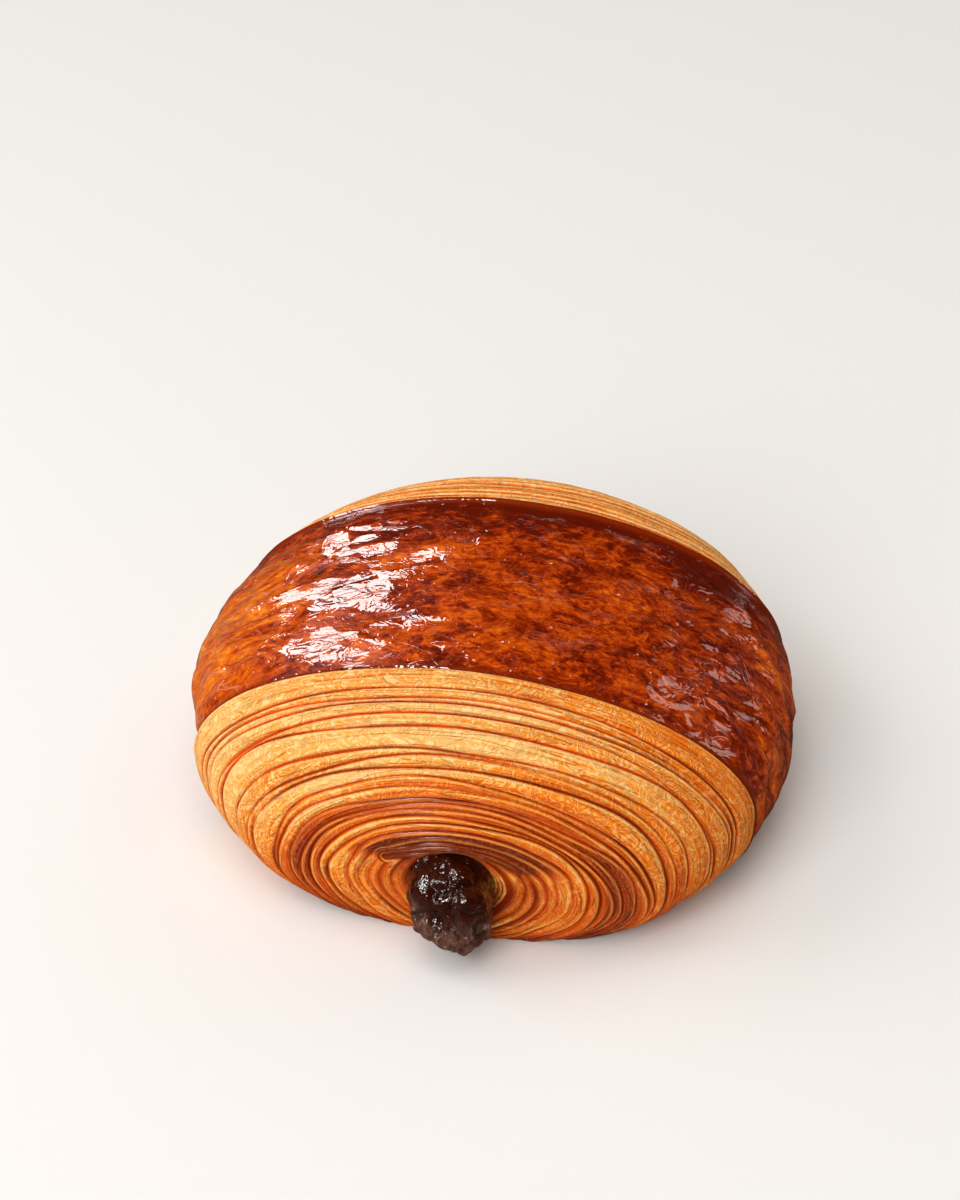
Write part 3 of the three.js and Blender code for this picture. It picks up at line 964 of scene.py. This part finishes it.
# Layered dough: the bake and patterns added up to one tone for the colours, with pale curls, a painted
# highlight along the layers' edges and groove lines over it, in the browner colour of baked edges and partly
# painted shade in the grooves. Curls and creases crackle where the dough is pale, and brown dough is
# glossier.
def layerMaterial(name, lineAmount):
    material, tree, output = newMaterial(name)
    bake = attribute(tree, "bake")
    lipHighlight = attribute(tree, "lipHighlight")
    streaks = noise(tree, ringVector(tree, *crust["streakWaves"]), 3.0, 0.3, 0.6)
    arcs = nestedArcs(tree, ringVector(tree, *crust["arcWaves"]), 40.0)
    creases = levelLines(tree, ringVector(tree, *crust["creaseWaves"]), 0.035)
    creases = maths(tree, "MAXIMUM", creases, remap(tree, arcs, 0.3, 0.0))
    seams = levelLines(tree, ringVector(tree, *crust["seamWaves"]), 0.012)
    fineSeams = levelLines(tree, ringVector(tree, *crust["fineSeamWaves"]), 0.03)
    patches = noise(tree, ringVector(tree, *crust["patchWaves"]), 1.0)
    mottle = noise(tree, objectVector(tree, crust["mottleScale"]), 2.0, 0.8)
    ticks = noise(tree, ringVector(tree, *crust["tickWaves"]), 2.0, 0.5)
    crackle = remap(tree, bake, 0.2, 0.6, 1.0, 0.25)
    creases = maths(tree, "MULTIPLY", creases, crackle)
    curls = maths(tree, "MULTIPLY", remap(tree, arcs, 0.55, 1.0), crackle)
    # The painted highlight on the layers' edges lightens the tone as well.
    tone = weighted(tree, [
        (maths(tree, "SUBTRACT", streaks, 0.5), remap(tree, bake, 0.1, 0.5, 0.35, 0.7)),
        (maths(tree, "SUBTRACT", mottle, 0.5), 0.12),
        (maths(tree, "SUBTRACT", patches, 0.5), 0.14),
        (creases, 0.12),
        (seams, 0.22),
        (fineSeams, remap(tree, bake, 0.1, 0.4, 0.08 * lineAmount, 0.2)),
        (curls, -0.15),
        (lipHighlight, -0.28),
    ], bake)
    base = ramp(tree, tone, crust["colours"])
    base = blendColours(tree, maths(tree, "MULTIPLY", curls, 0.3), base, crust["curl"])
    # Painted highlight: the layers' edges blended towards the shine colour.
    shine = maths(tree, "MULTIPLY", lipHighlight, remap(tree, bake, 0.15, 0.5, 0.15, 0.4))
    base = blendColours(tree, shine, base, crust["shine"])
    stretches = noise(tree, ringVector(tree, *crust["stretchWaves"]), 1.0)
    # Groove lines: the browner colour of baked layer edges, and partly painted shade in the grooves.
    grooveBake = weighted(tree, [(bake, lineAmount)], remap(tree, stretches, 0.44, 0.66, 0.0, 0.55))
    grooveShade = blendColours(tree, grooveBake, crust["grooveLight"], crust["grooveDark"])
    base = blendColours(tree, remap(tree, attribute(tree, "groove"), 0.15, 0.7, 0.0, 0.97), base, grooveShade)
    height = weighted(tree, [
        (curls, 0.34),
        (creases, -0.12),
        (seams, -0.6),
        (fineSeams, -0.35),
        (streaks, 0.5),
        (ticks, 0.5),
    ])
    finishMaterial(tree, output, {
        "Base Color": base,
        "Roughness": remap(tree, bake, 0.1, 0.7, 0.5, 0.3),
        "Specular IOR Level": crust["mirroring"],
        "Coat Weight": remap(tree, bake, 0.2, 0.6, 0.0, 0.3),
        "Coat Roughness": crust["coatRoughness"],
        "Normal": bumpNormal(tree, height, crust["relief"]),
    })
    return material


layerMaterials = {-1.0: layerMaterial("layeredDough", 1.0), 1.0: layerMaterial("layeredDoughFar", 1.6)}
layerCounts = [len(turn) for turn in layers["turns"][-1.0]]
innerStart = sum(layerCounts[:layers["split"]])
makeLayers("nearOuterLayers", -1.0, 0, innerStart, 101)
makeLayers("nearInnerLayers", -1.0, innerStart, sum(layerCounts), 101)
makeLayers("farOuterLayers", 1.0, 0, innerStart, 202)
makeLayers("farInnerLayers", 1.0, innerStart, sum(layerCounts), 202)

# The filling: a soft bar through the roll that swells out at both cut ends
filling = {
    "columns": 290,
    "noseRows": 150,
    "wayRows": 36,
    "radius": 7.6,
    "near": {"reach": 8.2, "middle": 10.8, "drift": 2.0, "floorGap": 0.4, "round": 2.8},
    "far": {"reach": 3.0, "middle": 11.0, "drift": -0.8, "floorGap": 3.6, "round": 2.6},
    "lumps": 1.5,
    "smallLumps": 1.1,
    "creases": 0.35,
    "restsAt": 0.03,           # above the table
    # X, Y and Z of soft lobes and hollows on the near nose, their radius, and how far they stand out
    "lobes": (
        (-3.6, -50.5, 16.0, 3.0, 1.2),
        (4.4, -50.5, 16.0, 3.0, 1.2),
        (2.6, -53.0, 7.0, 3.2, 1.2),
        (-4.2, -51.5, 8.0, 2.6, 1.0),
        (0.4, -51.5, 17.0, 1.4, -1.6),
        (-0.6, -53.0, 11.5, 1.5, -1.5),
        (5.0, -52.0, 11.0, 1.1, -1.2),
    ),
}


# One nose: rings whose half width and height shrink by a superellipse of f, from the cut end (0) to the tip
# (1), at Y given by the end's wall and its reach
def noseRings(nose, f, angle, wall):
    narrow = np.maximum(0.0, 1.0 - f ** nose["round"]) ** (1.0 / nose["round"])
    roof = nose["middle"] + (roll["poleHeight"] + filling["radius"] - nose["middle"]) * narrow
    lowest = roll["poleHeight"] - filling["radius"]
    lowest = lowest + (nose["floorGap"] - lowest) * smoothStep(0.0, 0.2, f)
    floor = nose["middle"] + (lowest - nose["middle"]) * narrow ** 1.5
    x = roll["mouthOffset"] + nose["drift"] * f + filling["radius"] * narrow * np.cos(angle)
    z = (roof + floor) / 2 + (roof - floor) / 2 * np.sin(angle)
    y = np.broadcast_to(wall + np.sign(wall) * nose["reach"] * f, x.shape)
    return np.stack([x, y, z], axis=-1)


# The filling's surface: near nose, bar and far nose joined, and pushed out and in by soft lumps, creases and
# lobes where it shows. The valleys between the lumps and the hollow lobes are kept for painted shade in its
# colour.
def makeFilling():
    angle = (np.arange(filling["columns"]) / filling["columns"] * 2.0 * np.pi)[None, :]
    wall = roll["length"] / 2
    f = np.sin(np.linspace(1.0, 0.0, filling["noseRows"], endpoint=False) * np.pi / 2)[:, None]
    f = np.minimum(f, 0.9995)
    way = np.linspace(-wall, wall, filling["wayRows"])[:, None]
    bar = noseRings({**filling["near"], "reach": 0.0}, np.zeros_like(way), angle, way)
    near = noseRings(filling["near"], f, angle, -wall)
    far = noseRings(filling["far"], f[::-1], angle, wall)
    points = np.concatenate([near, bar, far])
    normal = gridNormals(points, -1.0)
    fromWall = np.abs(points[..., 1]) - wall
    shows = smoothStep(0.0, 2.0, np.maximum(0.0, fromWall + 1.0))
    swirl = swirled(points, 5.0, 1.4, 71)
    lumps = np.abs(latticeNoise(swirl, (4.6, 6.0, 5.2), 72))
    small = np.abs(latticeNoise(swirled(points, 2.0, 0.7, 76), 2.1, 73))
    fine = np.abs(latticeNoise(swirl, 0.9, 75))
    wet = smoothStep(7.0, 14.5, points[..., 2] + 3.0 * latticeNoise(points, 4.0, 74))
    push = filling["lumps"] * (lumps ** 0.7 - 0.55)
    push = push + filling["smallLumps"] * (small ** 0.7 - 0.5) * (1.0 - 0.3 * wet)
    push = push + filling["creases"] * (fine - 0.4) * (1.0 - 0.8 * wet)
    # Painted shade in the valleys between the lumps, and in the hollow lobes below.
    valleyShade = np.maximum(np.exp(-(lumps / 0.14) ** 2), 0.7 * np.exp(-(small / 0.12) ** 2))
    for x, y, z, radius, height in filling["lobes"]:
        away = np.linalg.norm(points - np.array([x, y, z]), axis=-1)
        nearness = np.exp(-(away / radius) ** 2)
        push = push + height * nearness
        valleyShade = np.maximum(valleyShade, nearness * (height < 0.0))
    push = push * (1.0 - 0.3 * smoothStep(5.5, 8.2, fromWall))
    points = points + normal * (shows * push)[..., None]
    points[..., 2] = np.maximum(points[..., 2], filling["restsAt"])
    values = {"wet": wet, "valleyShade": valleyShade * shows}
    piece = buildMesh("chocolateFilling", points, values, capped=True)
    finishPiece(piece, chocolateMaterial(), "filling")


chocolate = {
    "wet": colour(46, 11, 3),
    "dry": colour(90, 55, 40),
    # lighter streak colour of the set chocolate, partly a painted highlight on the raised streaks
    "edge": colour(132, 90, 68),
    # painted shade colour for the valleys
    "valleyShade": colour(28, 12, 8),
    "streakScale": (520.0, 520.0, 240.0),
    "crackScale": (520.0, 520.0, 420.0),
    "fineScale": (900.0, 900.0, 900.0),
    "plateScale": (480.0, 480.0, 360.0),
    "relief": 0.0006,
    "plates": 0.0012,
    "coatRoughness": 0.03,
    "coatStrength": 1.6,
}


# Set chocolate: streaked and dull low down, with the raised streaks lighter and partly a painted highlight,
# dark and glossy above, and painted shade in its valleys.
# Streaks, cracks and fine grain turn the surface, less where it is wet, and flat plates turn the clear coat.
def chocolateMaterial():
    material, tree, output = newMaterial("meltedChocolate")
    wet = attribute(tree, "wet")
    streaks = noise(tree, objectVector(tree, chocolate["streakScale"], bend=1.4), 3.0, 1.0)
    # The raised streaks turn lighter: paler set chocolate, and partly a painted highlight.
    dry = ramp(tree, streaks, [(0.44, chocolate["dry"]), (0.6, chocolate["edge"])])
    base = blendColours(tree, wet, dry, chocolate["wet"])
    # Painted shade: the valleys darkened towards near black.
    darkened = maths(tree, "MULTIPLY", attribute(tree, "valleyShade"), 0.8)
    base = blendColours(tree, darkened, base, chocolate["valleyShade"])
    fine = noise(tree, objectVector(tree, chocolate["fineScale"]), 2.0)
    cracks = levelLines(tree, objectVector(tree, chocolate["crackScale"], bend=1.2), 0.05)
    height = weighted(tree, [(streaks, 1.3), (fine, 0.35), (cracks, -0.25)])
    height = maths(tree, "MULTIPLY", height, remap(tree, wet, 0.2, 0.8, 1.0, 0.3))
    normal = bumpNormal(tree, height, chocolate["relief"])
    plates = flatPlates(tree, objectVector(tree, chocolate["plateScale"]), 1.0)
    finishMaterial(tree, output, {
        "Base Color": base,
        "Roughness": remap(tree, wet, 0.2, 0.8, 0.4, 0.14),
        "Specular IOR Level": remap(tree, wet, 0.2, 0.8, 0.7, 0.12),
        "Coat Weight": remap(tree, wet, 0.15, 0.7, 0.0, 1.0),
        "Coat Roughness": chocolate["coatRoughness"],
        "Coat IOR": chocolate["coatStrength"],
        "Normal": normal,
        "Coat Normal": bumpNormal(tree, plates, chocolate["plates"], normal),
    })
    return material


makeFilling()
